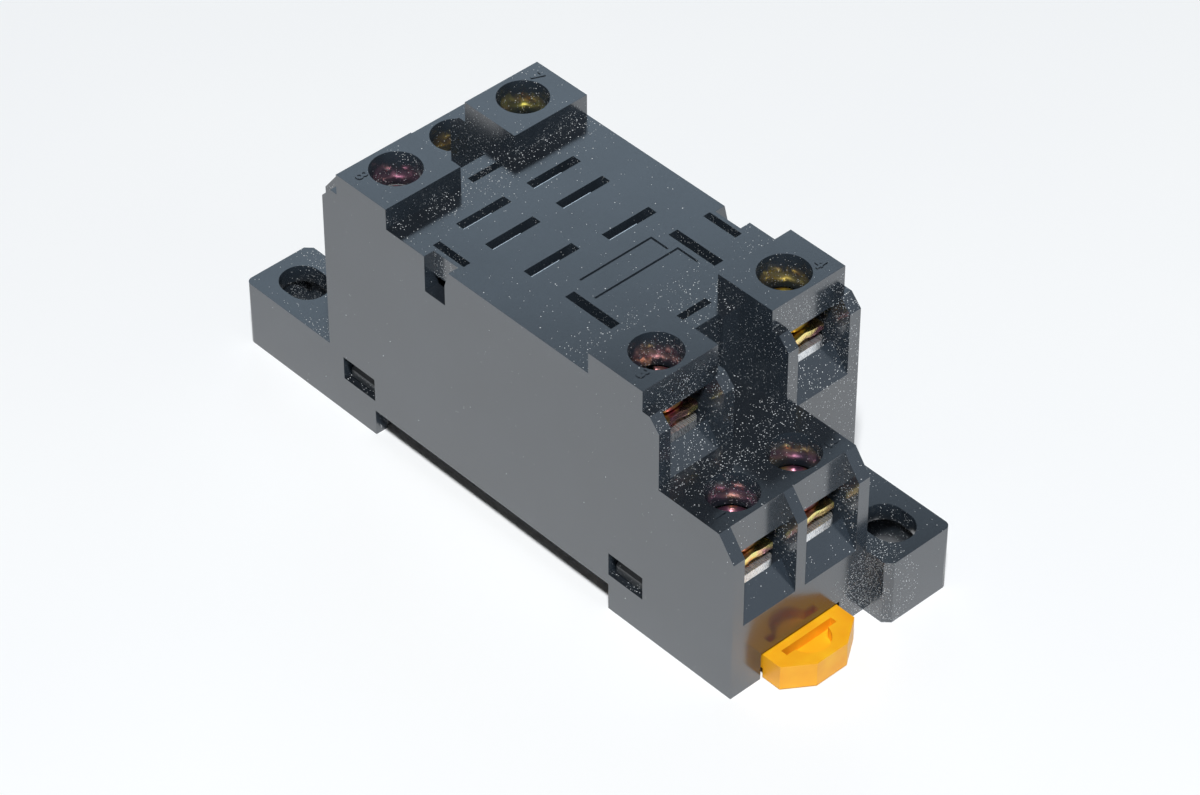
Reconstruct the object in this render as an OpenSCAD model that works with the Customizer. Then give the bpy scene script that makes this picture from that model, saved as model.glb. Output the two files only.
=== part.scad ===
// Two-tier screw-terminal socket for a plug-in relay, for a 35 mm mounting rail or two screws.
// X runs along the socket, with the slider at +X, Y across it and Z up.
// The origin lies in the plane of the feet, in the middle of the rail channel.

/* [Housing] */
// Length of the housing over its end walls
body_l = 70.4; // [68:0.2:76]
// Width of the housing
body_w = 27.3; // [26.6:0.1:30]
// Height of the face that the relay sits on
seat_h = 29.4; // [28.4:0.1:32]
// Height of the lower row of terminal blocks
tier_h = 20.8; // [20:0.1:22]
// How far the upper terminal blocks rise above the relay seat
block_rise = 2.55; // [1.6:0.05:3.2]
// Distance from the middle to the front faces of the upper blocks
upper_face = 22.4; // [22:0.1:23]
// Distance from the middle to the inner faces of the upper blocks
upper_back = 14.8; // [14.2:0.1:15]
// How far the barrier walls stand out past the upper blocks
upper_cheek = 2.35; // [1.5:0.05:3]
// How far the barrier walls stand out past the lower blocks
lower_cheek = 2.1; // [1.4:0.05:3]
// Width of the gap between the two upper blocks of an end
block_gap = 7.3; // [5:0.1:7.5]
// Thickness of the outer walls
wall = 1.5; // [1.2:0.05:1.6]
// Thickness of the skin under the relay seat
seat_skin = 1.6; // [1:0.1:2.2]

/* [Ears] */
// How far each ear reaches past the end wall
ear_reach = 3.25; // [3:0.05:6]
// Height of the ears
ear_h = 8.15; // [6:0.05:10]
// Thickness of the top of the ears
ear_skin = 2.1; // [1.5:0.05:3]
// Thickness of the sides of the ears
ear_wall = 1.4; // [1:0.05:1.6]
// Width of the slotted hole in each ear
ear_slot_w = 4.8; // [4:0.05:5]
// Length of the slotted hole in each ear
ear_slot_l = 5.9; // [5.2:0.05:6]
// Distance between the two slotted holes along the socket
ear_slot_span = 67.9; // [67.5:0.1:68.1]
// Distance between the two slotted holes across the socket
ear_slot_cross = 18.6; // [18.2:0.1:19]

/* [Rail channel] */
// Width of the rail channel
rail_gap = 35.4; // [35.2:0.1:36.4]
// Depth of the rail channel above the feet
rail_depth = 3.3; // [3.1:0.05:3.6]
// How far the fixed lip and the slider's nose reach under the rail
hook_reach = 1.4; // [1:0.05:1.8]
// Height of the top of both hooks above the feet
hook_h = 1.9; // [1.7:0.05:2]

/* [Terminals] */
// Distance between neighbouring lower screws
screw_pitch = 8.4; // [8.2:0.1:9]
// Distance from a block's face back to its screw
screw_setback = 3.4; // [3:0.05:3.6]
// Diameter of the holes over the screws
access_d = 5.6; // [5.5:0.05:6.2]
// Width of each terminal bay
bay_w = 7.1; // [6.6:0.05:7.2]
// Drop from a block's top to the roof of its bay
mouth_drop = 4.25; // [4:0.05:4.4]
// Drop from a block's top to its terminal plate
plate_drop = 7.75; // [7.5:0.05:8]
// Drop of the sloped sill from the terminal plate to the front of the barrier walls
sill_drop = 3; // [2:0.1:4]
// Width of the terminal plates
plate_w = 5.2; // [4.8:0.05:5.6]
// Thickness of the terminal plates
plate_t = 1; // [0.8:0.05:1.2]
// Distance from a screw to the inner end of its terminal plate
plate_back = 3.5; // [3.2:0.05:3.6]
// Radius of the front corners of the terminal plates
plate_corner = 0.8; // [0.4:0.05:1.2]

/* [Screws and clamps] */
// Thread diameter of the terminal screws
thread_d = 3.5; // [3:0.1:3.6]
// Diameter of the screw heads
head_d = 5.2; // [4.8:0.05:5.3]
// Height of the screw heads
head_h = 1.85; // [1.2:0.05:2]
// Width of the slot across the screw heads
head_slot_w = 0.8; // [0.6:0.05:1]
// Depth of the slot across the screw heads
head_slot_h = 0.8; // [0.6:0.05:1]
// Length of the screws below the head
shank_l = 6.4; // [5.6:0.1:7]
// Gap between clamp and terminal plate with the screw slackened
clamp_lift = 0.75; // [0.4:0.05:1.2]
// Thickness of the clamps
clamp_t = 0.8; // [0.6:0.05:0.9]
// Width of the clamps across the bay
clamp_w = 5.3; // [4.8:0.05:5.6]
// Length of the clamps into the bay
clamp_l = 6.2; // [5.6:0.05:6.4]
// Height of the ridge along the middle of the clamps
clamp_ridge = 0.25; // [0.1:0.05:0.4]
// Width of that ridge at its foot
ridge_w = 2.1; // [1.6:0.1:3]

/* [Pin slots] */
// Width of the pin slots
pin_slot_w = 1.2; // [1:0.05:1.4]
// Length of the contact pin slots
pin_slot_l = 6.4; // [6:0.1:6.6]
// Length of the coil pin slots
coil_slot_l = 6.6; // [6:0.1:6.8]
// Distance from the middle line to the centres of the contact pin slots
pin_row_y = 4.75; // [4.7:0.05:4.8]
// Distance from the middle line to the coil pin slots
coil_row_y = 7; // [6.9:0.05:7.1]
// Place of the coil pin slots along the socket
coil_x = 8.25; // [8:0.05:8.4]
// Length of the spring clip slots
clip_slot_l = 4.6; // [4:0.1:5]
// Width of the spring clip slots
clip_slot_w = 0.9; // [0.7:0.05:1.1]
// Width of the clip notches in the sides
notch_w = 3; // [2.6:0.05:3.4]
// Depth of the clip notches into the sides
notch_in = 1.3; // [1.1:0.05:1.4]
// Depth of the clip notches below the relay seat
notch_down = 4.5; // [4:0.05:5]
// How far the lead-in widens the clip notches at the top
notch_lead = 0.6; // [0.3:0.05:0.9]
// Width of the two frame lines sunk into the relay seat
line_w = 0.25; // [0.2:0.05:0.4]
// Depth of those lines
line_depth = 0.2; // [0.1:0.05:0.3]

/* [Contacts] */
// Thickness of the contact strip
strip_t = 0.8; // [0.6:0.05:0.9]
// Thickness of the jaw leaves
leaf_t = 0.35; // [0.3:0.05:0.4]
// Gap between the leaves where they grip the pin
grip = 0.3; // [0.2:0.05:0.4]
// Gap between the leaves at the foot of a jaw
jaw_gap = 1.2; // [1:0.05:1.4]
// Width of the jaws along their slot
jaw_l = 3.8; // [3.4:0.1:4.2]
// Depth of the contact jaws' tall leaf below the relay seat
jaw_sunk = 0.45; // [0.2:0.05:0.8]
// Depth of the coil jaws' tall leaf below the relay seat
coil_jaw_sunk = 3; // [2:0.1:4]
// Depth of every jaw's spring leaf below the relay seat
spring_leaf_sunk = 3.4; // [2.6:0.1:4]
// Distance from a slot's middle to its tall leaf
leaf_beside = 0.1; // [0:0.01:0.15]
// Height of the strips that lead to the terminals
web_h = 5; // [4:0.1:5.4]

/* [Base cover] */
// Thickness of the base cover over the rail
cover_t = 1.7; // [1.5:0.05:2]
// Length of each snap window along the side
window_l = 4.9; // [4.4:0.05:5]
// Height of each snap window
window_h = 2.9; // [2.6:0.05:3]
// Height of the lower edge of the snap windows above the feet
window_z = 4.65; // [4.5:0.05:4.8]
// Thickness of the snap arms
snap_t = 1.1; // [0.9:0.05:1.2]
// How far the snap hooks stand out into their windows
snap_out = 0.8; // [0.6:0.05:1]

/* [Slider] */
// Width of the slider
slider_w = 10.3; // [9.8:0.05:10.4]
// Height of the slider
slider_h = 3; // [2.8:0.05:3]
// How far the slider's tab stands out past the end wall
tab_out = 4.5; // [4:0.05:6]
// Width of the tab's tip
tab_tip_w = 4.2; // [3.4:0.1:6]
// Length of the tab's slanted corners
tab_corner = 2.1; // [1.5:0.05:2.6]
// How far the slider pulls out
slider_travel = 2.5; // [2:0.1:3]
// Distance from the middle line to the middle of the slider
slider_y = 4.1; // [4:0.05:4.2]
// Outer diameter of the slider's spring
spring_d = 2.2; // [2:0.05:2.3]
// Wire diameter of the slider's spring
spring_wire = 0.35; // [0.3:0.05:0.4]
// Number of turns of the slider's spring
spring_turns = 8; // [6:1:10]

/* [Fits] */
// Radial clearance of the screws in their holes
screw_fit = 0.06; // [0.05:0.01:0.1]
// Clearance round parts that slide
slide_fit = 0.3; // [0.25:0.05:0.4]
// Clearance round parts that are pressed or dropped in
seat_fit = 0.05; // [0.02:0.01:0.1]

/* [Hidden] */
$fn = 48;
over = 1;

// Main planes
half_l = body_l / 2;
half_w = body_w / 2;
rail_half = rail_gap / 2;
block_h = seat_h + block_rise;
block_in = block_gap / 2;
lower_face = half_l - lower_cheek;
upper_front = upper_face + upper_cheek;
bay_y = half_w - wall - bay_w / 2;
tier_y = screw_pitch - bay_y + bay_w / 2 + wall;
ear_end = half_l + ear_reach;
cover_top = rail_depth + cover_t;
roof_z = seat_h - seat_skin;
cheek_slant_in = 1.35;
cheek_slant_h = 1.45;
lower_slant_h = 2.8;
seat_end = upper_back + 2.25;
seat_corner = seat_end + 0.65;
seat_corner_y = 1.6;

// Screws of the near end, as [along, across, top of its block]; the far end has the same, turned half round
near_terminals = [
    [lower_face - screw_setback, -bay_y, tier_h],
    [lower_face - screw_setback, screw_pitch - bay_y, tier_h],
    [upper_face - screw_setback, -bay_y, block_h],
    [upper_face - screw_setback, bay_y, block_h]];
function is_far(i) = i > 4;
function near_of(i) = near_terminals[(i - 1) % 4];
function side_of(i) = is_far(i) ? -1 : 1;

// Jaw of each contact, as [along, across, whether its slot runs along the socket]
rows_x = [-10.15, -5.8, -0.1];
offset_x = 1.1;
jaws = [
    [coil_x, -coil_row_y, true],
    [coil_x, coil_row_y, true],
    [rows_x[2], -pin_row_y, false],
    [rows_x[2] + offset_x, pin_row_y, false],
    [rows_x[1], pin_row_y, false],
    [rows_x[1], -pin_row_y, false],
    [rows_x[0], pin_row_y, false],
    [rows_x[0], -pin_row_y, false]];
// How far beside its screw each contact's strip runs
webs_beside = [1.6, 2.1, -1.5, 1.3, -0.2, -2.1, -2, 1.1];
webs_y = [for (i = [1:8]) side_of(i) * near_of(i)[1] + webs_beside[i - 1]];

// Contact levels
plate_end = screw_setback + 0.1;
well_d = thread_d + 1.1;
well_depth = 5.2;
upper_web_z = block_h - plate_drop - plate_t - web_h;
jaw_half = jaw_gap / 2 + leaf_t;
jaw_foot_top = upper_web_z + strip_t;
web_overlap = 1;
void_fit = 0.3;

// Slider levels and stops
slider_z = 0.15;
slider_top = slider_z + slider_h;
tunnel_w = slider_w + 2 * slide_fit;
tunnel_h = slider_top + slide_fit;
rail_lip_w = 0.9;
rail_lip_z = 0.3;
rail_lip_t = 0.7;
spring_room = slider_travel + spring_turns * spring_wire + 1.7;
stop_t = 1.2;
spring_x = rail_half + 2.3;
stop_x = spring_x + spring_room;
window_w = spring_d + 1.2;

module at_terminal(i) {
    rotate([0, 0, is_far(i) ? 180 : 0]) translate(near_of(i)) children();
}

module both_ends() {
    children();
    rotate([0, 0, 180]) children();
}

module box(x, y, z) {
    translate([x[0], y[0], z[0]]) cube([x[1] - x[0], y[1] - y[0], z[1] - z[0]]);
}

// Extrudes a side outline, drawn as along and up, between two places across
module side_extrude(y0, y1) {
    translate([0, y1, 0]) rotate([90, 0, 0]) linear_extrude(y1 - y0) children();
}

// Outline of the housing seen from above, drawn in by a distance
function plan(inset) = let (
        long = half_l - inset, short = upper_front - inset,
        side = half_w - inset, step = tier_y - inset)
    [[long, -side], [long, step], [short, step], [short, side],
     [-long, side], [-long, -step], [-short, -step], [-short, -side]];

// ---- Housing ----

module upper_outline() {
    polygon([[0, 0], [upper_front, 0], [upper_front, seat_h - cheek_slant_h],
        [upper_front - cheek_slant_in, seat_h], [upper_face, seat_h],
        [upper_face, block_h], [upper_back, block_h], [upper_back, seat_h], [0, seat_h]]);
}

module lower_outline() {
    polygon([[0, 0], [half_l, 0], [half_l, tier_h - lower_slant_h], [lower_face, tier_h], [0, tier_h]]);
}

module ear_solid() {
    round_r = 0.8;
    corner = 0.75;
    linear_extrude(ear_h) difference() {
        union() {
            translate([upper_front - over, tier_y])
                square([ear_end - upper_front + over - round_r, half_w - tier_y]);
            translate([upper_front, tier_y])
                square([ear_end - upper_front, half_w - tier_y - round_r]);
            translate([ear_end - round_r, half_w - round_r]) circle(round_r);
        }
        polygon([[ear_end - corner, tier_y - over], [ear_end + over, tier_y - over],
            [ear_end + over, tier_y + corner], [ear_end, tier_y + corner], [ear_end - corner, tier_y]]);
    }
}

module slotted_hole() {
    shift = (ear_slot_l - ear_slot_w) / 2;
    translate([ear_slot_span / 2, ear_slot_cross / 2, 0]) {
        for (side = [-1, 1])
            translate([side * shift, 0, 0]) cylinder(h = ear_h + over, d = ear_slot_w);
        translate([-shift, -ear_slot_w / 2, 0]) cube([2 * shift, ear_slot_w, ear_h + over]);
    }
}

module ear_hollow() {
    box([upper_front, ear_end - ear_wall], [tier_y + ear_wall, half_w - ear_wall],
        [-over, ear_h - ear_skin]);
}

module end_solid() {
    for (side = [-1, 1]) {
        y = side > 0 ? block_in : -half_w;
        side_extrude(y, y + half_w - block_in) upper_outline();
    }
    side_extrude(-half_w, tier_y) lower_outline();
    box([0, seat_end], [-block_in - over, block_in + over], [0, seat_h]);
    for (side = [-1, 1])
        box([0, seat_corner],
            [side > 0 ? seat_corner_y : -block_in - over, side > 0 ? block_in + over : -seat_corner_y],
            [0, seat_h]);
    ear_solid();
}

// The open bay of one terminal, with its sloped sill, access hole and screw well
module bay(cheek, lowest) {
    floor_z = -plate_drop - plate_t;
    half_bay = bay_w / 2;
    drop = min(sill_drop, floor_z - lowest);
    foot_x = screw_setback + cheek * drop / sill_drop;
    front_x = screw_setback + cheek + over;
    box([-plate_back - slide_fit, screw_setback + over], [-half_bay, half_bay], [floor_z, -mouth_drop]);
    side_extrude(-half_bay, half_bay) polygon([
        [screw_setback, over], [screw_setback, floor_z],
        [foot_x, floor_z - drop], [front_x, floor_z - drop], [front_x, over]]);
    translate([0, 0, -mouth_drop - over]) cylinder(h = mouth_drop + 2 * over, d = access_d);
    translate([0, 0, floor_z - well_depth]) cylinder(h = well_depth + over, d = well_d);
}

module pin_slots() {
    for (jaw = jaws) {
        l = jaw[2] ? coil_slot_l : pin_slot_l;
        size = jaw[2] ? [l, pin_slot_w] : [pin_slot_w, l];
        translate([jaw[0] - size[0] / 2, jaw[1] - size[1] / 2, roof_z - over])
            cube([size[0], size[1], seat_skin + 2 * over]);
    }
}

module clip_slots() {
    clip_x = 14.9;
    side_x = 7.5;
    side_y = half_w - 2.25;
    slot_depth = 5;
    notch_x = 7.6;
    lead_h = 2;
    window_drop = 3;
    both_ends() {
        box([clip_x - clip_slot_w / 2, clip_x + clip_slot_w / 2],
            [-clip_slot_l / 2, clip_slot_l / 2], [seat_h - slot_depth, seat_h + over]);
        box([side_x - clip_slot_l / 2, side_x + clip_slot_l / 2],
            [side_y - clip_slot_w / 2, side_y + clip_slot_w / 2], [seat_h - slot_depth, seat_h + over]);
        side_extrude(half_w - notch_in, half_w + over) translate([notch_x, seat_h]) polygon([
            [notch_w / 2, over], [notch_w / 2, -notch_down], [-notch_w / 2, -notch_down],
            [-notch_w / 2, -lead_h], [-notch_w / 2 - notch_lead, 0], [-notch_w / 2 - notch_lead, over]]);
        box([notch_x - notch_w / 2, notch_x + notch_w / 2],
            [side_y, half_w], [seat_h - notch_down, seat_h - window_drop]);
    }
}

// Frame lines in the seat, each a long run across it and a short one from its end along the socket
module frame_lines() {
    // As [along, start across, end across, end of the short run along]
    runs = [[4.1, -4.8, 4.95, 6.5], [7.1, -5.6, 5.75, 9.9]];
    line_z = [seat_h - line_depth, seat_h + over];
    for (run = runs) {
        box([run[0] - line_w / 2, run[0] + line_w / 2], [run[1], run[2]], line_z);
        box([run[0] - line_w / 2, run[3]], [run[2] - line_w, run[2]], line_z);
    }
}

// Room for one contact: a chamber under its slot and a channel for its strip, open to the base
module contact_room(i) {
    bottom = cover_top - over;
    foot = contact_foot(i);
    web = contact_web(i);
    box([foot[0][0] - void_fit, foot[0][1] + void_fit], [foot[1][0] - void_fit, foot[1][1] + void_fit],
        [bottom, roof_z]);
    box([web[0][0] - void_fit, web[0][1] + void_fit], [web[1][0] - void_fit, web[1][1] + void_fit],
        [bottom, web[2][1]]);
}

module snap_windows() {
    both_ends() for (side = [-1, 1]) {
        y = side > 0 ? half_w - wall - over : -half_w - over;
        box([rail_half, rail_half + window_l], [y, y + wall + 2 * over], [window_z, window_z + window_h]);
        pocket = snap_t + 0.5;
        y1 = side > 0 ? half_w - wall - pocket : -half_w + wall;
        box([rail_half, rail_half + window_l], [y1, y1 + pocket], [cover_top - over, window_z + window_h]);
    }
}

module housing() {
    color("#353a3f") difference() {
        union() both_ends() end_solid();
        both_ends() {
            ear_hollow();
            slotted_hole();
        }
        for (i = [1:8]) {
            lower = near_of(i)[2] == tier_h;
            over_tier = !lower && near_of(i)[1] < tier_y;
            at_terminal(i) bay(lower ? lower_cheek : upper_cheek, over_tier ? tier_h - block_h : -tier_h);
            contact_room(i);
        }
        pin_slots();
        clip_slots();
        frame_lines();
        snap_windows();
        translate([0, 0, -over]) linear_extrude(cover_top + over) polygon(plan(wall));
        box([-rail_half, rail_half], [-half_w - over, half_w + over], [-over, rail_depth]);
        box([half_l - wall - over, half_l + over],
            [-slider_y - tunnel_w / 2, -slider_y + tunnel_w / 2], [-over, tunnel_h]);
    }
}

// ---- Base cover ----

module snap_arm() {
    arm_l = window_l - 2 * slide_fit;
    outer = half_w - wall - seat_fit;
    top = window_z + window_h - slide_fit;
    translate([rail_half + slide_fit, 0, 0]) rotate([90, 0, 90]) linear_extrude(arm_l) polygon([
        [outer - snap_t, cover_top - over], [outer, cover_top - over],
        [outer, window_z + seat_fit], [outer + snap_out, window_z + seat_fit],
        [outer + snap_out, window_z + 1], [outer, top - 0.4], [outer - 0.3, top], [outer - snap_t, top]]);
}

module base_cover() {
    foot_z = 0.3;
    floor_t = 1.5;
    rib = 1.4;
    near_leg = [rail_half + rib, half_l - wall - seat_fit - rib];
    color("#2f3337") {
        difference() {
            translate([0, 0, foot_z]) linear_extrude(cover_top - foot_z) polygon(plan(wall + seat_fit));
            box([-rail_half, rail_half], [-half_w, half_w], [-over, rail_depth]);
            // Slider tunnel
            box([0, half_l], [-slider_y - tunnel_w / 2, -slider_y + tunnel_w / 2], [-over, tunnel_h]);
            // Hollows of both legs, open below
            box([near_leg[0], upper_front - wall - rib - seat_fit],
                [-slider_y + tunnel_w / 2 + rib, half_w - wall - rib], [-over, cover_top - floor_t]);
            box([-upper_front + wall + rib, -near_leg[0]],
                [-half_w + wall + rib, -tier_y], [-over, cover_top - floor_t]);
            box([-near_leg[1], -near_leg[0]],
                [-tier_y + wall + rib, half_w - wall - rib], [-over, cover_top - floor_t]);
        }
        // Lips that carry the slider
        for (side = [-1, 1]) {
            y = -slider_y + side * (tunnel_w - rail_lip_w) / 2;
            box([rail_half, half_l - wall - seat_fit], [y - rail_lip_w / 2, y + rail_lip_w / 2],
                [rail_lip_z, rail_lip_z + rail_lip_t]);
        }
        // Stop that the spring bears on
        box([stop_x, stop_x + stop_t], [-slider_y - spring_d / 2, -slider_y + spring_d / 2],
            [rail_lip_z, cover_top - over]);
        // Fixed hook for the far edge of the rail
        side_extrude(-half_w / 2, half_w / 2) polygon([
            [-rail_half - over, rail_lip_z], [-rail_half + hook_reach / 2, rail_lip_z],
            [-rail_half + hook_reach, rail_lip_z + hook_reach / 2],
            [-rail_half + hook_reach, hook_h], [-rail_half - over, hook_h]]);
        both_ends() for (side = [0, 1]) mirror([0, side, 0]) snap_arm();
    }
}

// ---- Slider ----

module tab_plan() {
    tip = half_l + tab_out;
    polygon([[0, -slider_w / 2], [tip - tab_corner, -slider_w / 2], [tip, -tab_tip_w / 2],
        [tip, tab_tip_w / 2], [tip - tab_corner, slider_w / 2], [0, slider_w / 2]]);
}

module din_slider() {
    nose = rail_half - hook_reach;
    nose_slant = 1.1;
    shoulder = rail_half + slide_fit;
    tip = half_l + tab_out;
    slit_w = 0.8;
    slit_l = 6.9;
    pocket_x = half_l + 0.8;
    pocket_r = 2.3;
    pocket_depth = 1.4;
    groove_w = rail_lip_w + slide_fit;
    color("#f5a81c") translate([0, -slider_y, 0]) difference() {
        intersection() {
            side_extrude(-slider_w / 2, slider_w / 2) polygon([
                [nose, hook_h], [nose, slider_z + nose_slant], [nose + nose_slant, slider_z],
                [tip, slider_z], [tip, slider_top], [shoulder, slider_top], [shoulder, hook_h]]);
            linear_extrude(slider_top + over) tab_plan();
        }
        // Room for the spring and the stop
        box([spring_x, stop_x + stop_t + seat_fit], [-window_w / 2, window_w / 2],
            [-over, slider_top + over]);
        // Grooves that ride on the cover's lips
        for (side = [-1, 1]) {
            y = side > 0 ? slider_w / 2 - groove_w : -slider_w / 2 - over;
            box([nose - over, half_l], [y, y + groove_w + over],
                [-over, rail_lip_z + rail_lip_t + slide_fit]);
        }
        // Pocket for a screwdriver's tip
        box([pocket_x, pocket_x + slit_w], [-slit_l / 2, slit_l / 2],
            [slider_top - pocket_depth, slider_top + over]);
        translate([pocket_x + slit_w / 2, 0, slider_top - pocket_depth]) intersection() {
            cylinder(h = pocket_depth + over, r = pocket_r);
            translate([0, -pocket_r, 0]) cube([pocket_r, 2 * pocket_r, pocket_depth + over]);
        }
    }
}

// ---- Slider spring ----

module slider_spring() {
    turn_steps = 16;
    sides = 8;
    steps = spring_turns * turn_steps;
    mean_r = (spring_d - spring_wire) / 2;
    start_x = spring_x + spring_wire / 2 + seat_fit;
    run = spring_room - spring_wire - 2 * seat_fit;
    rings = [for (s = [0:steps]) let (a = 360 * s / turn_steps) [for (k = [0:sides - 1])
        let (b = 360 * k / sides, r = mean_r + spring_wire / 2 * cos(b))
        [start_x + run * s / steps + spring_wire / 2 * sin(b), r * cos(a), r * sin(a)]]];
    walls = [for (s = [0:steps - 1]) for (k = [0:sides - 1])
        let (a = s * sides + k, b = s * sides + (k + 1) % sides) [a, b, b + sides, a + sides]];
    ends = [[for (k = [sides - 1:-1:0]) k], [for (k = [0:sides - 1]) steps * sides + k]];
    color("#c9ccd0") translate([0, -slider_y, slider_z + slider_h / 2])
        polyhedron([for (ring = rings) each ring], concat(walls, ends));
}

// ---- Contacts ----

// Foot that carries the jaw of contact i and reaches its web, as [[x0, x1], [y0, y1], [z0, z1]]
function contact_foot(i) = let (jaw = jaws[i - 1], web = webs_y[i - 1], along = jaw[2],
        l = along ? coil_slot_l : pin_slot_l,
        x0 = along ? jaw[0] - l / 2 + slide_fit : jaw[0] - jaw_half,
        x1 = along ? x0 + jaw_l : jaw[0] + jaw_half,
        y0 = along ? jaw[1] - jaw_half : jaw[1] - l / 2 + slide_fit,
        y1 = along ? jaw[1] + jaw_half : y0 + jaw_l)
    [[x0, x1], [min(y0, web - strip_t / 2), max(y1, web + strip_t / 2)],
     [upper_web_z, jaw_foot_top]];

// Web from the foot to the terminal plate, standing on edge
function contact_web(i) = let (t = near_of(i), s = side_of(i), foot = contact_foot(i),
        inner = s > 0 ? foot[0][0] : foot[0][1],
        outer = s * (t[0] - plate_back + web_overlap),
        web = webs_y[i - 1], z0 = t[2] - plate_drop - plate_t - web_h)
    [[min(inner, outer), max(inner, outer)], [web - strip_t / 2, web + strip_t / 2], [z0, z0 + web_h]];

// Side view of a jaw: one tall flat leaf, and a sprung one that leans toward it and flares at its mouth
module jaw_leaves(tall_h, spring_h) {
    straight_h = 0.45 * spring_h;
    pinch_h = 0.86 * spring_h;
    foot = -jaw_gap / 2 - leaf_t;
    pinch = leaf_beside - grip - leaf_t;
    flare = 0.2;
    translate([leaf_beside, 0]) square([leaf_t, tall_h]);
    inner = [[foot + leaf_t, 0], [foot + leaf_t, straight_h],
        [pinch + leaf_t, pinch_h], [pinch + leaf_t - flare, spring_h]];
    outer = [for (k = [3:-1:0]) inner[k] - [leaf_t, 0]];
    polygon(concat(inner, outer));
}

module jaw(i) {
    foot = contact_foot(i);
    along = jaws[i - 1][2];
    sunk = along ? coil_jaw_sunk : jaw_sunk;
    start = along ? foot[0][0] : jaws[i - 1][1] - pin_slot_l / 2 + slide_fit;
    place = along ? [start + jaw_l, jaws[i - 1][1], 0] : [jaws[i - 1][0], start, 0];
    translate(place + [0, 0, jaw_foot_top]) rotate([0, 0, along ? 90 : 0])
        translate([0, jaw_l, 0]) rotate([90, 0, 0]) linear_extrude(jaw_l)
            jaw_leaves(seat_h - sunk - jaw_foot_top, seat_h - spring_leaf_sunk - jaw_foot_top);
}

module terminal_plate() {
    half = plate_w / 2;
    straight = plate_end - plate_corner;
    difference() {
        translate([0, 0, -plate_drop - plate_t]) linear_extrude(plate_t) {
            translate([-plate_back, -half]) square([plate_back + straight, plate_w]);
            translate([0, plate_corner - half]) square([plate_end, plate_w - 2 * plate_corner]);
            for (side = [-1, 1]) translate([straight, side * (half - plate_corner)]) circle(plate_corner);
        }
        translate([0, 0, -plate_drop - plate_t - over])
            cylinder(h = plate_t + 2 * over, d = thread_d + 2 * screw_fit);
    }
}

module contact(i) {
    foot = contact_foot(i);
    web = contact_web(i);
    color("#c8c4b4") {
        at_terminal(i) terminal_plate();
        box(web[0], web[1], web[2]);
        box(foot[0], foot[1], foot[2]);
        jaw(i);
        // Riser from a lower web up to the jaw's foot
        if (web[2][0] < foot[2][0]) box([foot[0][0], foot[0][1]], web[1], [web[2][0], foot[2][1]]);
    }
}

// ---- Clamps and screws ----

clamp_z = -plate_drop + clamp_lift;
head_z = clamp_z + clamp_t + clamp_ridge + seat_fit;

// Lower line of the clamp's pressed wave, which its upper line repeats one thickness higher
clamp_wave = let (half = clamp_w / 2, foot = ridge_w / 2, crest = ridge_w / 4)
    [[-half, 0], [-foot, 0], [-crest, clamp_ridge], [crest, clamp_ridge], [foot, 0], [half, 0]];

module clamp(i) {
    last = len(clamp_wave) - 1;
    upper_line = [for (k = [last:-1:0]) clamp_wave[k] + [0, clamp_t]];
    color("#b9a13c") at_terminal(i) difference() {
        translate([-clamp_l / 2, 0, clamp_z]) rotate([90, 0, 90]) linear_extrude(clamp_l)
            polygon(concat(clamp_wave, upper_line));
        translate([0, 0, clamp_z - over])
            cylinder(h = clamp_t + clamp_ridge + 2 * over, d = thread_d + 2 * screw_fit);
    }
}

module screw(i) {
    color("#c2a63e") at_terminal(i) difference() {
        union() {
            translate([0, 0, head_z]) cylinder(h = head_h, d = head_d);
            translate([0, 0, head_z - shank_l]) cylinder(h = shank_l + head_h / 2, d = thread_d);
        }
        translate([-head_d, -head_slot_w / 2, head_z + head_h - head_slot_h])
            cube([2 * head_d, head_slot_w, head_slot_h + over]);
    }
}

housing();
base_cover();
din_slider();
slider_spring();
for (i = [1:8]) {
    contact(i);
    clamp(i);
    screw(i);
}
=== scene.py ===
# Dresses the two-tier relay socket: materials, rounded edges, screws, clamps, numbers, lights, camera.
import bpy, bmesh, math
from mathutils import Matrix, Vector


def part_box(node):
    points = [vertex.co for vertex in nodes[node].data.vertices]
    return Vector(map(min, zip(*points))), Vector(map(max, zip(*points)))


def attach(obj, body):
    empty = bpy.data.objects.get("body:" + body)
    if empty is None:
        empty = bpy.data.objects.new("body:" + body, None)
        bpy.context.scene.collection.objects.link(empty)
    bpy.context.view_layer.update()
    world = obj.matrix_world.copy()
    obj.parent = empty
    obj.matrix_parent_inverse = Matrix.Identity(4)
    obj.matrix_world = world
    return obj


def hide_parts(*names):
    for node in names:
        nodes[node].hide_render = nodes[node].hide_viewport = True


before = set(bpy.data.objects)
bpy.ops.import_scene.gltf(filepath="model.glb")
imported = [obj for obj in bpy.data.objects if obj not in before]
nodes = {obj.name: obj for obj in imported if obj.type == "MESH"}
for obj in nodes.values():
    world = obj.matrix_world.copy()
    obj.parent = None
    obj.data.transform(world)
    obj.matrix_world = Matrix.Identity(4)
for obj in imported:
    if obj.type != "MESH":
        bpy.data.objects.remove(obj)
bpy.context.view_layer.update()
mm = 0.001
perEnd = 4  # terminals at each end
numbers = range(1, 2 * perEnd + 1)


def toLinear(hexText):
    parts = [int(hexText[i:i + 2], 16) / 255 for i in (1, 3, 5)]
    return tuple(c / 12.92 if c <= 0.04045 else ((c + 0.055) / 1.055) ** 2.4 for c in parts) + (1.0,)


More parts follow.
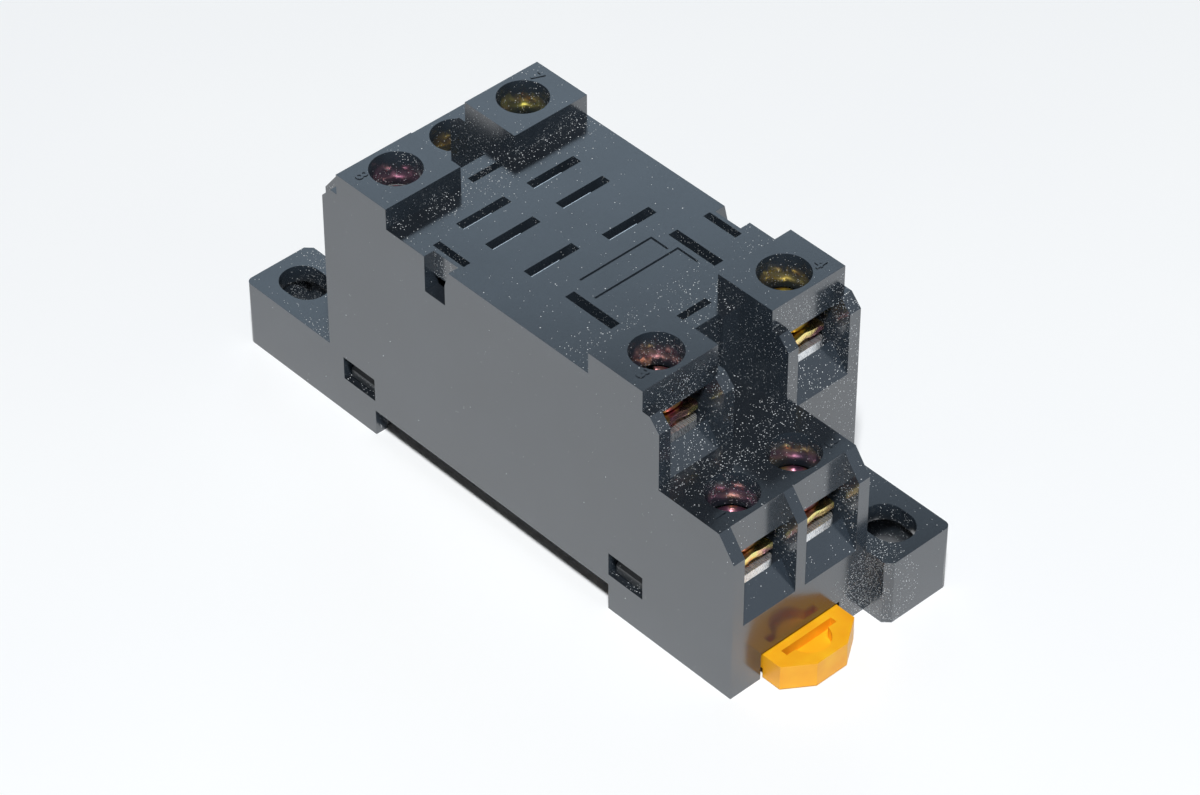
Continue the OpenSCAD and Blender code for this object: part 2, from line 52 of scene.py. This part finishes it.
# inputs come by name, or as a list from the first socket on, and a node stands for its first output
def addNode(tree, kind, inputs=(), **settings):
    node = tree.nodes.new(kind)
    for name, value in settings.items():
        if name == "stops":  # colour ramp stops, as (place, colour)
            ramp = node.color_ramp.elements
            while len(ramp) < len(value):
                ramp.new(1.0)
            for stop, (place, colour) in zip(ramp, value):
                stop.position = place
                stop.color = toLinear(colour)
        else:
            setattr(node, name, value)
    for name, value in inputs.items() if isinstance(inputs, dict) else enumerate(inputs):
        source = value.outputs[0] if isinstance(value, bpy.types.Node) else value
        if isinstance(source, bpy.types.NodeSocket):
            tree.links.new(source, node.inputs[name])
        else:
            node.inputs[name].default_value = source
    return node


def newMaterial(name):
    material = bpy.data.materials.new(name)
    material.use_nodes = True
    material.node_tree.nodes.clear()
    return material, material.node_tree


def perMetre(sizeMm):
    return 1 / (sizeMm * mm)


print("stage: materials")

# Glass-filled nylon, injection moulded: near black, glossy enough to mirror the table, dusty in its corners,
# with a painted bluish sheen on its walls
housingLook = {
    "tones": [(0.3, "#1b1f24"), (0.7, "#24292f")], "blotchMm": 7.0,
    "roughness": (0.13, 0.22), "ior": 2.0,  # above nylon's own 1.53, for the strong mirror of a glossy skin
    "grainMm": 0.22, "grainBump": 0.08, "grainDepth": 0.02 * mm,  # coarser than real grain, so that it shows
    "filmAndSheen": "#86a0b8", "paintedSheenOnWalls": (0.95, 0.55, 0.0, 0.06),  # painted bluish sheen on the walls, mixed in by how far a face is from level
    "dust": "#e2e6e8", "dustRoughness": 0.9, "dustBump": 0.5, "dustDepth": 0.03 * mm,
    # each fade of the dust: a first and a last value, and the share at each
    "inner": (9 * mm, 14.8 * mm, 0.0, 1.0), "outer": (25 * mm, 32 * mm, 1.0, 0.12),
    "tops": (29.5 * mm, 31.8 * mm, 1.0, 0.05), "walls": (-0.4, -0.9, 0.0, 0.9),
    "sides": (13.5 * mm, 13.62 * mm, 1.0, 0.03), "ends": (35 * mm, 35.15 * mm, 1.0, 0.3),
    "spread": (0.0, 1.0, 0.04, 0.8), "driftMm": 3.5, "patches": (0.38, 0.6, 0.3, 1.0),
    "earCorners": ((35.2, 4.85, 4.0), (-35.2, -4.85, 4.0)), "heap": (2.5 * mm, 6 * mm, 2.6, 0.0),
    # cell and radius in mm and how often a cell holds a speck, coarse enough to show
    "specks": ((0.24, 0.047, 0.7), (0.14, 0.034, 0.45)), "speckSizes": (0.45, 1.6), "speckRim": 0.4,
}


# dust lies round the feet of the blocks, on walls turned to -Y and beside the ears, and little on outer faces
def dustShare(tree, place, facing, look, dustiness):
    axes = addNode(tree, "ShaderNodeSeparateXYZ", [place]).outputs
    along = addNode(tree, "ShaderNodeMath", [axes["X"]], operation="ABSOLUTE")
    across = addNode(tree, "ShaderNodeMath", [axes["Y"]], operation="ABSOLUTE")
    inner = addNode(tree, "ShaderNodeMapRange", [along, *look["inner"]])
    outer = addNode(tree, "ShaderNodeMapRange", [along, *look["outer"]])
    tops = addNode(tree, "ShaderNodeMapRange", [axes["Z"], *look["tops"]])
    walls = addNode(tree, "ShaderNodeMapRange", [facing["Y"], *look["walls"]])
    sides = addNode(tree, "ShaderNodeMapRange", [across, *look["sides"]])
    ends = addNode(tree, "ShaderNodeMapRange", [along, *look["ends"]])
    feet = addNode(tree, "ShaderNodeMath", [inner, outer], operation="MULTIPLY")
    lower = addNode(tree, "ShaderNodeMath", [feet, tops], operation="MULTIPLY")
    lying = addNode(tree, "ShaderNodeMath", [lower, walls], operation="MAXIMUM")
    spread = addNode(tree, "ShaderNodeMapRange", [lying, *look["spread"]])
    clean = addNode(tree, "ShaderNodeMath", [sides, ends], operation="MULTIPLY")
    where = addNode(tree, "ShaderNodeMath", [spread, clean], operation="MULTIPLY")
    for corner in look["earCorners"]:
        centre = [v * mm for v in corner]
        away = addNode(tree, "ShaderNodeVectorMath", [place, centre], operation="DISTANCE").outputs["Value"]
        heap = addNode(tree, "ShaderNodeMapRange", [away, *look["heap"]])
        where = addNode(tree, "ShaderNodeMath", [where, heap], operation="MAXIMUM")
    drift = addNode(tree, "ShaderNodeTexNoise", {
        "Vector": place, "Scale": perMetre(look["driftMm"]), "Detail": 3.0})
    patchy = addNode(tree, "ShaderNodeMapRange", [drift, *look["patches"]])
    amount = addNode(tree, "ShaderNodeMath", [where, patchy], operation="MULTIPLY")
    return addNode(tree, "ShaderNodeMath", [amount, dustiness], operation="MULTIPLY")


def speckMask(tree, place, share, look, cell, radius, often):
    smallest, largest = [size * radius / cell for size in look["speckSizes"]]
    spots = addNode(tree, "ShaderNodeTexVoronoi", {"Vector": place, "Scale": perMetre(cell)}).outputs
    pick = addNode(tree, "ShaderNodeSeparateColor", [spots["Color"]]).outputs
    chance = addNode(tree, "ShaderNodeMath", [share, often], operation="MULTIPLY")
    there = addNode(tree, "ShaderNodeMath", [pick[0], chance], operation="LESS_THAN")
    size = addNode(tree, "ShaderNodeMapRange", [pick[1], 0.0, 1.0, smallest, largest])
    edge = addNode(tree, "ShaderNodeMath", [size, spots["Distance"]], operation="SUBTRACT")
    soft = addNode(tree, "ShaderNodeMapRange", [edge, 0.0, look["speckRim"] * radius / cell])
    return addNode(tree, "ShaderNodeMath", [soft, there], operation="MULTIPLY")


def mouldedNylon(name, look, dustiness):
    material, tree = newMaterial(name)
    coords = addNode(tree, "ShaderNodeTexCoord").outputs
    place = coords["Object"]
    facing = addNode(tree, "ShaderNodeSeparateXYZ", [coords["Normal"]]).outputs
    blotch = addNode(tree, "ShaderNodeTexNoise", {
        "Vector": place, "Scale": perMetre(look["blotchMm"]), "Detail": 3.0})
    grain = addNode(tree, "ShaderNodeTexNoise", {"Vector": place, "Scale": perMetre(look["grainMm"])})
    tone = addNode(tree, "ShaderNodeValToRGB", [blotch], stops=look["tones"])
    share = dustShare(tree, place, facing, look, dustiness)
    masks = [speckMask(tree, place, share, look, *kind) for kind in look["specks"]]
    specks = addNode(tree, "ShaderNodeMath", masks, operation="MAXIMUM")
    # painted sheen: walls get a share of a pale blue colour by how far a face turns from level, standing in
    # for the lighter reflection on them
    level = addNode(tree, "ShaderNodeMath", [facing["Z"]], operation="ABSOLUTE")
    paintedSheenShare = addNode(tree, "ShaderNodeMapRange", [level, *look["paintedSheenOnWalls"]])
    filmAndSheen, dust = toLinear(look["filmAndSheen"]), toLinear(look["dust"])
    toneWithPaintedSheen = addNode(tree, "ShaderNodeMix", {0: paintedSheenShare, 6: tone, 7: filmAndSheen}, data_type="RGBA").outputs[2]
    colour = addNode(tree, "ShaderNodeMix", {0: specks, 6: toneWithPaintedSheen, 7: dust}, data_type="RGBA").outputs[2]
    sheen = addNode(tree, "ShaderNodeMapRange", [grain, 0.0, 1.0, *look["roughness"]])
    rough = addNode(tree, "ShaderNodeMix", {0: specks, 2: sheen, 3: look["dustRoughness"]}, data_type="FLOAT")
    grainBump = addNode(tree, "ShaderNodeBump", {
        "Height": grain, "Strength": look["grainBump"], "Distance": look["grainDepth"]})
    bump = addNode(tree, "ShaderNodeBump", {
        "Height": specks, "Strength": look["dustBump"], "Distance": look["dustDepth"], "Normal": grainBump})
    shader = addNode(tree, "ShaderNodeBsdfPrincipled", {
        "Base Color": colour, "Roughness": rough, "IOR": look["ior"], "Normal": bump})
    addNode(tree, "ShaderNodeOutputMaterial", {"Surface": shader})
    return material


# Yellow-passivated zinc on pressed steel: gold metal under thin pink, yellow and green films, finely pitted
zincLook = {
    "filmAndSheen": [(0.28, "#c06a94"), (0.38, "#f0a8b4"), (0.47, "#fad49c"),
             (0.56, "#fbe694"), (0.66, "#e2e694"), (0.76, "#b4dcc8")],
    "filmMm": 2.2, "filmTwist": 0.6, "roughness": (0.11, 0.31),
    "pitMm": 0.3, "pitBump": 0.45, "pitDepth": 0.04 * mm,  # coarser than real pits, so that they show
}
# the same zinc on turned screw heads: duller, with broader films, rosy on some and gold on others
rosyLook = dict(zincLook, filmMm=3.1, roughness=(0.22, 0.42), filmAndSheen=[
    (0.3, "#9a6a8a"), (0.42, "#cc869c"), (0.52, "#e6ab94"), (0.62, "#f2cc88"), (0.72, "#ecd898")])
goldLook = dict(rosyLook, filmAndSheen=[
    (0.3, "#b08a3a"), (0.42, "#e8c050"), (0.52, "#f4dc78"), (0.62, "#d0c858"), (0.72, "#e09a80")])


def passivatedZinc(name, look):
    material, tree = newMaterial(name)
    place = addNode(tree, "ShaderNodeTexCoord").outputs["Object"]
    filmAndSheen = addNode(tree, "ShaderNodeTexNoise", {
        "Vector": place, "Scale": perMetre(look["filmMm"]), "Distortion": look["filmTwist"]})
    colour = addNode(tree, "ShaderNodeValToRGB", [filmAndSheen], stops=look["filmAndSheen"])
    pits = addNode(tree, "ShaderNodeTexNoise", {
        "Vector": place, "Scale": perMetre(look["pitMm"]), "Detail": 3.0})
    rough = addNode(tree, "ShaderNodeMapRange", [pits, 0.0, 1.0, *look["roughness"]])
    bump = addNode(tree, "ShaderNodeBump", {
        "Height": pits, "Strength": look["pitBump"], "Distance": look["pitDepth"]})
    shader = addNode(tree, "ShaderNodeBsdfPrincipled", {
        "Base Color": colour, "Metallic": 1.0, "Roughness": rough, "Normal": bump})
    addNode(tree, "ShaderNodeOutputMaterial", {"Surface": shader})
    return material


# Tin-plated brass strip, stamped: bright grey metal with fine drawing lines, a little milky
tinLook = {
    "tones": [(0.35, "#ccd0d4"), (0.62, "#f8f9fa")], "roughness": (0.18, 0.38), "metallic": 0.88,
    "lineMm": 0.12, "stretch": (0.12, 1.0, 0.35),  # coarser than real lines, so that they show
    "lineBump": 0.08, "lineDepth": 0.02 * mm,
}
# Spring wire, drawn: grey steel with fine lines
wireLook = dict(tinLook, tones=[(0.35, "#8d9095"), (0.62, "#c3c5c8")], roughness=(0.22, 0.42), metallic=1.0,
                lineMm=0.1)


def drawnMetal(name, look):
    material, tree = newMaterial(name)
    place = addNode(tree, "ShaderNodeTexCoord").outputs["Object"]
    stretched = addNode(tree, "ShaderNodeMapping", {"Vector": place, "Scale": look["stretch"]})
    lines = addNode(tree, "ShaderNodeTexNoise", {
        "Vector": stretched, "Scale": perMetre(look["lineMm"]), "Detail": 3.0})
    colour = addNode(tree, "ShaderNodeValToRGB", [lines], stops=look["tones"])
    rough = addNode(tree, "ShaderNodeMapRange", [lines, 0.0, 1.0, *look["roughness"]])
    bump = addNode(tree, "ShaderNodeBump", {
        "Height": lines, "Strength": look["lineBump"], "Distance": look["lineDepth"]})
    shader = addNode(tree, "ShaderNodeBsdfPrincipled", {
        "Base Color": colour, "Metallic": look["metallic"], "Roughness": rough, "Normal": bump})
    addNode(tree, "ShaderNodeOutputMaterial", {"Surface": shader})
    return material


# Orange acetal, injection moulded: bright, waxy, lets a little light in
acetalLook = {
    "tones": [(0.3, "#f2a416"), (0.7, "#fbb91f")], "cloudMm": 3.0, "roughness": (0.34, 0.48), "ior": 1.48,
    "grainMm": 0.3, "grainBump": 0.15, "grainDepth": 0.03 * mm,  # coarser than real grain, so that it shows
    "glow": 0.12, "glowReach": (1.0, 0.5, 0.1), "glowDepth": 0.6 * mm,
}


def orangeAcetal(name, look):
    material, tree = newMaterial(name)
    place = addNode(tree, "ShaderNodeTexCoord").outputs["Object"]
    cloud = addNode(tree, "ShaderNodeTexNoise", {"Vector": place, "Scale": perMetre(look["cloudMm"])})
    colour = addNode(tree, "ShaderNodeValToRGB", [cloud], stops=look["tones"])
    grain = addNode(tree, "ShaderNodeTexNoise", {"Vector": place, "Scale": perMetre(look["grainMm"])})
    rough = addNode(tree, "ShaderNodeMapRange", [grain, 0.0, 1.0, *look["roughness"]])
    bump = addNode(tree, "ShaderNodeBump", {
        "Height": grain, "Strength": look["grainBump"], "Distance": look["grainDepth"]})
    shader = addNode(tree, "ShaderNodeBsdfPrincipled", {
        "Base Color": colour, "Roughness": rough, "IOR": look["ior"], "Normal": bump,
        "Subsurface Weight": look["glow"], "Subsurface Radius": look["glowReach"],
        "Subsurface Scale": look["glowDepth"]})
    addNode(tree, "ShaderNodeOutputMaterial", {"Surface": shader})
    return material


coverLook = dict(housingLook, tones=[(0.3, "#1d1b18"), (0.7, "#26241f")], roughness=(0.26, 0.35))
housingNylon = mouldedNylon("charcoalNylonMoulded", housingLook, 1.0)
coverNylon = mouldedNylon("charcoalNylonCover", coverLook, 0.35)  # less dusty than the housing
zincClamp = passivatedZinc("yellowPassivatedZincClamp", zincLook)
rosyScrew = passivatedZinc("rosyPassivatedZincScrew", rosyLook)
goldScrew = passivatedZinc("goldPassivatedZincScrew", goldLook)
platedBrass = drawnMetal("tinnedBrassStrip", tinLook)
sliderAcetal = orangeAcetal("orangeAcetalMoulded", acetalLook)
springWire = drawnMetal("drawnSpringWire", wireLook)


def dress(obj, material):
    obj.data.materials.clear()
    obj.data.materials.append(material)


def roundEdges(obj, width, steps, sharpFrom):
    bevel = obj.modifiers.new("soften", "BEVEL")
    bevel.width = width * mm
    bevel.segments = steps
    bevel.limit_method = "ANGLE"
    bevel.angle_limit = math.radians(sharpFrom)
    return bevel


print("stage: moulded and stamped parts")
edges = {  # rounding in mm and its steps
    "housing": (0.1, 2), "base_cover": (0.1, 2), "din_slider": (0.22, 3), "contact": (0.08, 2),
    "join": 0.002, "sharpFrom": 32,
}


def softenEdges(obj, width, steps):
    weld = obj.modifiers.new("join", "WELD")
    weld.merge_threshold = edges["join"] * mm
    bevel = roundEdges(obj, width, steps, edges["sharpFrom"])
    bevel.harden_normals = True
    bevel.use_clamp_overlap = True


for name, material in (("housing", housingNylon), ("base_cover", coverNylon), ("din_slider", sliderAcetal)):
    dress(nodes[name], material)
    softenEdges(nodes[name], *edges[name])
dress(nodes["slider_spring"], springWire)
for number in numbers:
    dress(nodes[f"contact_{number}"], platedBrass)
    softenEdges(nodes[f"contact_{number}"], *edges["contact"])


def addObject(name, data):
    obj = bpy.data.objects.new(name, data)
    bpy.context.scene.collection.objects.link(obj)
    return obj


def meshFrom(bm, name):
    mesh = bpy.data.meshes.new(name)
    bmesh.ops.recalc_face_normals(bm, faces=bm.faces)
    bm.to_mesh(mesh)
    bm.free()
    return mesh


def bakedMesh(obj):
    bpy.context.view_layer.update()
    graph = bpy.context.evaluated_depsgraph_get()
    return bpy.data.meshes.new_from_object(obj.evaluated_get(graph))


def cutWith(obj, cutter):
    cut = obj.modifiers.new("cut", "BOOLEAN")
    cut.object = cutter
    cut.operation = "DIFFERENCE"
    cut.solver = "EXACT"


def shadeSmooth(mesh, sharpFrom):
    mesh.shade_smooth()
    mesh.set_sharp_from_angle(angle=math.radians(sharpFrom))


print("stage: screws")
screwShape = {
    "headD": 5.2, "headH": 1.85, "headTurns": 56, "hubR": 0.6, "dish": 0.22,
    "foot": [(-0.3, 0), (-0.06, 0.08), (0, 0.25)],  # out from the rim, and up from the head's foot
    "crown": [(0, -0.3), (-0.08, -0.1), (-0.25, -0.01), (-0.4, 0), (-0.7, -0.04)],  # and up from its top
    "slotL": 7, "slotW": 0.8, "slotH": 0.8, "crossL": 3.1, "crossW": 0.8, "crossH": 1.25, "cutterH": 2,
    "edge": 0.06, "edgeSteps": 2, "edgeFrom": 40, "sharpFrom": 38,
    "shankL": 6.4, "threadD": 3.5, "rootD": 2.75, "pitch": 0.6, "threadTurns": 32, "threadRows": 96,
    "intoHead": 0.3, "crest": 1.25, "headRows": 6, "tipRows": 8, "tip": 0.15,  # the thread fades at both ends
    "slotTurn": [18, 64, -28, 75, 40, -15, 52, 8], "rosy": (1, 2, 3, 8),
}


def circlePoint(r, angle, z):
    return (r * mm * math.cos(angle), r * mm * math.sin(angle), z * mm)


def lathe(bm, profile, turns):
    rings = []
    for r, z in profile:
        rings.append([bm.verts.new(circlePoint(r, 2 * math.pi * k / turns, z)) for k in range(turns)])
    for low, high in zip(rings, rings[1:]):
        for k in range(turns):
            bm.faces.new((low[k], low[(k + 1) % turns], high[(k + 1) % turns], high[k]))
    bm.faces.new(list(reversed(rings[0])))
    bm.faces.new(rings[-1])


def screwHeadMesh(shape):
    r, h, tall = shape["headD"] / 2, shape["headH"], shape["cutterH"]
    profile = [(r + out, up) for out, up in shape["foot"]] + [(r + out, h + up) for out, up in shape["crown"]]
    bm = bmesh.new()
    lathe(bm, profile + [(shape["hubR"], h - shape["dish"])], shape["headTurns"])
    head = addObject("headTemp", meshFrom(bm, "headTemp"))
    cutters = []
    for length, width, deep in ((shape["slotL"], shape["slotW"], shape["slotH"]),
                                (shape["crossW"], shape["crossL"], shape["crossH"]),
                                (shape["crossL"], shape["crossW"], shape["crossH"])):
        place = Matrix.Translation((0, 0, (h - deep + tall / 2) * mm))
        size = Matrix.Diagonal((length * mm, width * mm, tall * mm, 1))
        cut = bmesh.new()
        bmesh.ops.create_cube(cut, size=1.0, matrix=place @ size)
        cutters.append(addObject("cutTemp", meshFrom(cut, "cutTemp")))
        cutWith(head, cutters[-1])
    roundEdges(head, shape["edge"], shape["edgeSteps"], shape["edgeFrom"])
    mesh = bakedMesh(head)
    for obj in [head] + cutters:
        bpy.data.objects.remove(obj)
    return mesh


def threadInto(bm, shape):
    turns, rows = shape["threadTurns"], shape["threadRows"]
    root, height = shape["rootD"] / 2, (shape["threadD"] - shape["rootD"]) / 2
    rings = []
    for j in range(rows + 1):
        z = -shape["shankL"] * j / rows + shape["intoHead"] * (1 - j / rows)
        fade = min(1, j / shape["headRows"], (rows - j) / shape["tipRows"] + shape["tip"])
        ring = []
        for k in range(turns):
            phase = (z / shape["pitch"] - k / turns) % 1
            crest = 1 - abs(2 * phase - 1)
            r = root + height * min(1, shape["crest"] * crest) * fade
            ring.append(bm.verts.new(circlePoint(r, 2 * math.pi * k / turns, z)))
        rings.append(ring)
    for low, high in zip(rings, rings[1:]):
        for k in range(turns):
            bm.faces.new((low[k], high[k], high[(k + 1) % turns], low[(k + 1) % turns]))
    bm.faces.new(rings[0])
    bm.faces.new(list(reversed(rings[-1])))


headMesh = screwHeadMesh(screwShape)
for number in numbers:
    low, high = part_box(f"screw_{number}")
    bm = bmesh.new()
    bm.from_mesh(headMesh)
    threadInto(bm, screwShape)
    foot = Vector(((low.x + high.x) / 2, (low.y + high.y) / 2, high.z - screwShape["headH"] * mm))
    turn = Matrix.Rotation(math.radians(screwShape["slotTurn"][number - 1]), 4, "Z")
    bmesh.ops.transform(bm, matrix=Matrix.Translation(foot) @ turn, verts=bm.verts)
    screw = addObject(f"terminalScrew{number}", meshFrom(bm, f"terminalScrew{number}"))
    shadeSmooth(screw.data, screwShape["sharpFrom"])
    dress(screw, rosyScrew if number in screwShape["rosy"] else goldScrew)
    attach(screw, f"screw_{number}")
    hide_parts(f"screw_{number}")

print("stage: clamps")
clampShape = {
    "wave": 0.25, "waveHalf": 1.3, "waveSteps": 24, "thick": 0.8, "hole": 3.62, "holeTurns": 48, "holeH": 6,
    "edge": 0.12, "edgeSteps": 3, "edgeFrom": 40, "sharpFrom": 35,
}


def clampMesh(length, width, shape):
    steps = shape["waveSteps"]
    below, above = [], []
    for k in range(steps + 1):
        y = -width / 2 + width * k / steps
        out = min(1.0, abs(y) / (shape["waveHalf"] * mm))
        lift = shape["wave"] * mm * (0.5 + 0.5 * math.cos(math.pi * out))
        below.append((y, lift))
        above.append((y, shape["thick"] * mm + lift))
    outline = below + above[::-1]
    count = len(outline)
    bm = bmesh.new()
    near, far = [[bm.verts.new((x, y, z)) for y, z in outline] for x in (-length / 2, length / 2)]
    for k in range(count):
        bm.faces.new((near[k], near[(k + 1) % count], far[(k + 1) % count], far[k]))
    bm.faces.new(list(reversed(near)))
    bm.faces.new(far)
    plate = addObject("plateTemp", meshFrom(bm, "plateTemp"))
    r = shape["hole"] / 2 * mm
    cut = bmesh.new()
    bmesh.ops.create_cone(cut, cap_ends=True, segments=shape["holeTurns"], radius1=r, radius2=r,
                          depth=shape["holeH"] * mm)
    hole = addObject("holeTemp", meshFrom(cut, "holeTemp"))
    cutWith(plate, hole)
    roundEdges(plate, shape["edge"], shape["edgeSteps"], shape["edgeFrom"])
    mesh = bakedMesh(plate)
    for obj in (plate, hole):
        bpy.data.objects.remove(obj)
    return mesh


low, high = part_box("clamp_1")
clampPlate = clampMesh(high.x - low.x, high.y - low.y, clampShape)
for number in numbers:
    low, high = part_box(f"clamp_{number}")
    mesh = clampPlate.copy()
    mesh.transform(Matrix.Translation(((low.x + high.x) / 2, (low.y + high.y) / 2, low.z)))
    shadeSmooth(mesh, clampShape["sharpFrom"])
    clamp = addObject(f"wireClamp{number}", mesh)
    dress(clamp, zincClamp)
    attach(clamp, f"clamp_{number}")
    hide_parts(f"clamp_{number}")

print("stage: terminal numbers")
numberShape = {
    "height": 2.0, "raised": 0.09, "thicker": 0.035, "fromSide": 1.75, "fromScrew": 1.56,
    "tierTop": 20.8, "byMiddle": (2, 6), "fromMiddle": 3.4,
}
for number in numbers:
    low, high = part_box(f"screw_{number}")
    centre = (low + high) / 2
    side = -1 if number > perEnd else 1
    upper = (number - 1) % perEnd >= perEnd / 2
    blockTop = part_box("housing")[1].z if upper else numberShape["tierTop"] * mm
    y = math.copysign(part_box("housing")[1].y - numberShape["fromSide"] * mm, centre.y)
    if number in numberShape["byMiddle"]:
        y = side * numberShape["fromMiddle"] * mm
    curve = bpy.data.curves.new(f"terminalNumber{number}", "FONT")
    curve.body = str(number)
    curve.size = numberShape["height"] * mm
    curve.extrude = numberShape["raised"] * mm
    curve.offset = numberShape["thicker"] * mm
    curve.align_x = "CENTER"
    curve.align_y = "CENTER"
    curve.materials.append(housingNylon)
    mark = addObject(f"terminalNumber{number}", curve)
    mark.location = (centre.x + side * numberShape["fromScrew"] * mm, y, blockTop)
    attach(mark, "socket")

print("stage: table, lights, camera")
# Matt white laminate, pressed: even, with the faintest clouds
table = {"size": 4.0, "tones": [(0.3, "#fafbfc"), (0.7, "#fcfdfd")], "cloudMm": 60}
bm = bmesh.new()
bmesh.ops.create_grid(bm, x_segments=1, y_segments=1, size=table["size"] / 2)
floor = addObject("tableTop", meshFrom(bm, "tableTop"))
tableMaterial, tree = newMaterial("whiteTableMatte")
place = addNode(tree, "ShaderNodeTexCoord").outputs["Object"]
cloudy = addNode(tree, "ShaderNodeTexNoise", {"Vector": place, "Scale": perMetre(table["cloudMm"])})
tone = addNode(tree, "ShaderNodeValToRGB", [cloudy], stops=table["tones"])
shader = addNode(tree, "ShaderNodeBsdfDiffuse", {"Color": tone})
addNode(tree, "ShaderNodeOutputMaterial", {"Surface": shader})
dress(floor, tableMaterial)

# the dim room lights the socket, and the camera sees white behind it
room = {"light": 0.035, "colour": "#eef3f8", "seenLight": 1.0, "seenColour": "#ffffff"}
world = bpy.data.worlds.new("softRoom")
bpy.context.scene.world = world
world.use_nodes = True
tree = world.node_tree
tree.nodes.clear()
seen = addNode(tree, "ShaderNodeLightPath").outputs["Is Camera Ray"]
dim = addNode(tree, "ShaderNodeBackground", {"Color": toLinear(room["colour"]), "Strength": room["light"]})
white = addNode(tree, "ShaderNodeBackground", {
    "Color": toLinear(room["seenColour"]), "Strength": room["seenLight"]})
both = addNode(tree, "ShaderNodeMixShader", [seen, dim, white])
addNode(tree, "ShaderNodeOutputWorld", {"Surface": both})

lampsAim = Vector((0.0, 0.0, 0.012))
lamps = {  # azimuth and elevation in degrees, distance and size in metres, power in watts
    "keyLamp": {
        "azimuth": -43, "elevation": 61.5, "distance": 1.5, "size": 0.15, "power": 23.8, "colour": "#fdfeff"},
    "backSoftbox": {
        "azimuth": 138, "elevation": 32, "distance": 0.9, "size": 0.35, "power": 0.45, "colour": "#d2eaff"},
    "rightSoftbox": {
        "azimuth": 33, "elevation": 20, "distance": 0.9, "size": 0.42, "power": 0.23, "colour": "#e2f0ff"},
}
for name, lamp in lamps.items():
    data = bpy.data.lights.new(name, "AREA")
    data.shape = "SQUARE"
    data.size = lamp["size"]
    data.energy = lamp["power"]
    data.color = toLinear(lamp["colour"])[:3]
    obj = addObject(name, data)
    a, e = math.radians(lamp["azimuth"]), math.radians(lamp["elevation"])
    direction = Vector((math.cos(e) * math.cos(a), math.cos(e) * math.sin(a), math.sin(e)))
    obj.location = lampsAim + direction * lamp["distance"]
    obj.rotation_euler = direction.to_track_quat("Z", "Y").to_euler()

cameraSet = {
    "place": Vector((0.25473558, -0.23536162, 0.31653797)),
    "target": Vector((0.00215442, -0.00031559, 0.00997655)),
    "lens": 135.8255, "sensor": 36, "nearest": 0.01,
}
data = bpy.data.cameras.new("bench")
data.lens = cameraSet["lens"]
data.sensor_width = cameraSet["sensor"]
data.clip_start = cameraSet["nearest"]
camera = addObject("bench", data)
camera.location = cameraSet["place"]
camera.rotation_euler = (cameraSet["place"] - cameraSet["target"]).to_track_quat("Z", "Y").to_euler()
bpy.context.scene.camera = camera
bpy.context.scene.view_settings.view_transform = "Standard"

print("stage: done")
